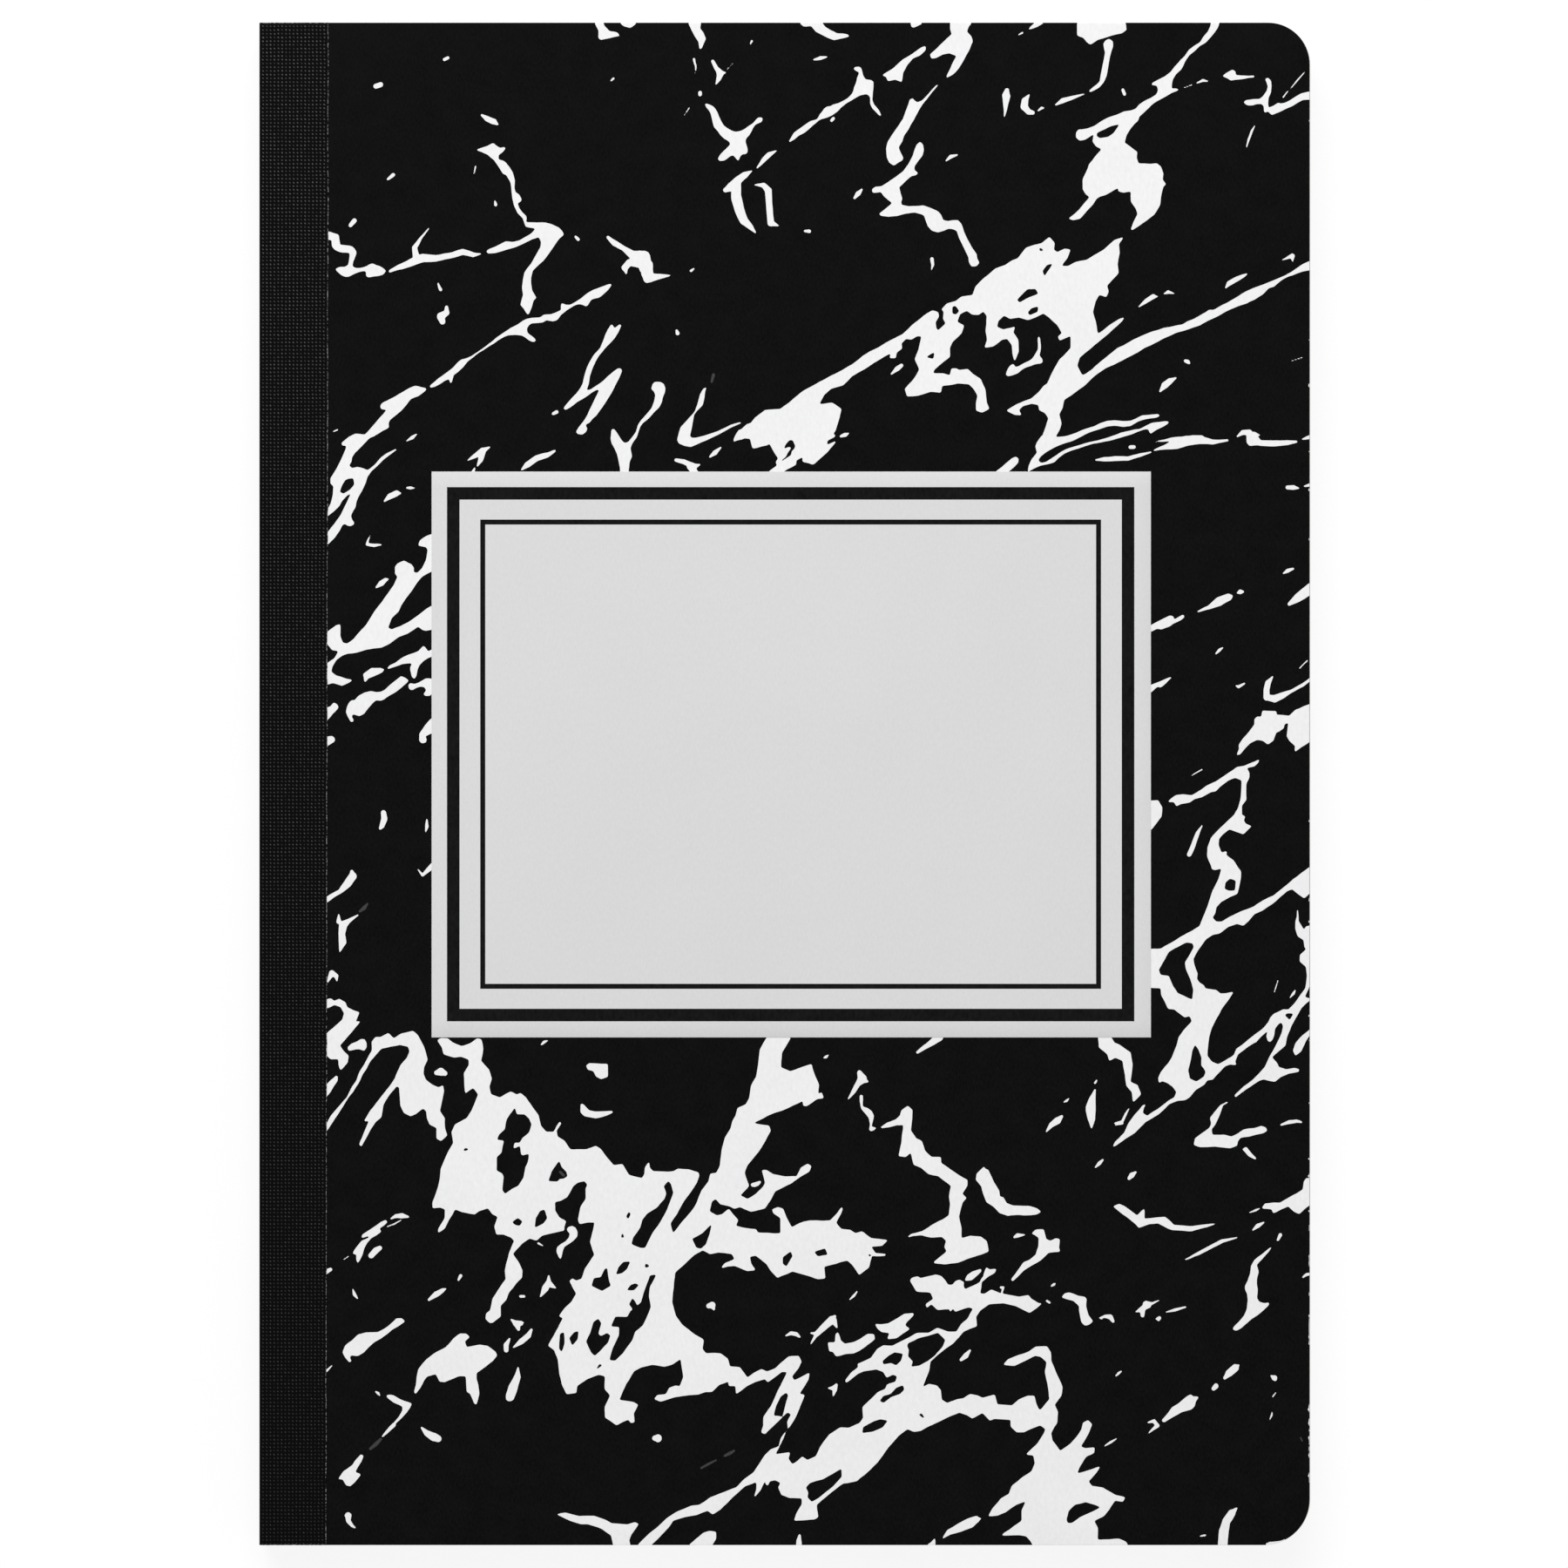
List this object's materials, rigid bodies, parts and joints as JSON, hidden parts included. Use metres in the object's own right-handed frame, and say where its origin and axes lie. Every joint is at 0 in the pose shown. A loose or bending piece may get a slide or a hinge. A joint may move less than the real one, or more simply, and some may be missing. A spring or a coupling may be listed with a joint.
{
  "type": "composition notebook",
  "caption": "Closed composition notebook: sewn leaves between marbled board covers with rounded fore-edge corners, black cloth spine tape and a blank framed label.",
  "frame": {"origin": "middle of the notebook's underside, where its lowest face stands", "axes": "+Z out of the front cover, +Y from the tail to the head of the page, +X from the spine to the fore-edge"},
  "size_m": [0.1754, 0.254, 0.0112],
  "materials": {
    "board": "satin marbled paper",
    "tape": "embossed canvas tape",
    "label_paper": "printed uncoated paper",
    "leaves": "uncoated writing paper",
    "thread": "cotton sewing thread"
  },
  "bodies": {
    "book_block": {"page_block": "leaves", "binding_thread": "thread", "spine_tape": "tape"},
    "front": {"front_cover": "board", "front_tape_flange": "tape", "label": "label_paper"},
    "back": {"back_cover": "board", "back_tape_flange": "tape"}
  },
  "joints": [
    {"name": "front_cover_hinge", "type": "hinge", "parent": "book_block", "child": "front", "pos_m": [-0.08765, 0, 0.0101], "axis": [0, -1, 0], "range_deg": [0, 180]},
    {"name": "back_cover_hinge", "type": "hinge", "parent": "book_block", "child": "back", "pos_m": [-0.08765, 0, 0.0011], "axis": [0, 1, 0], "range_deg": [0, 180]}
  ]
}
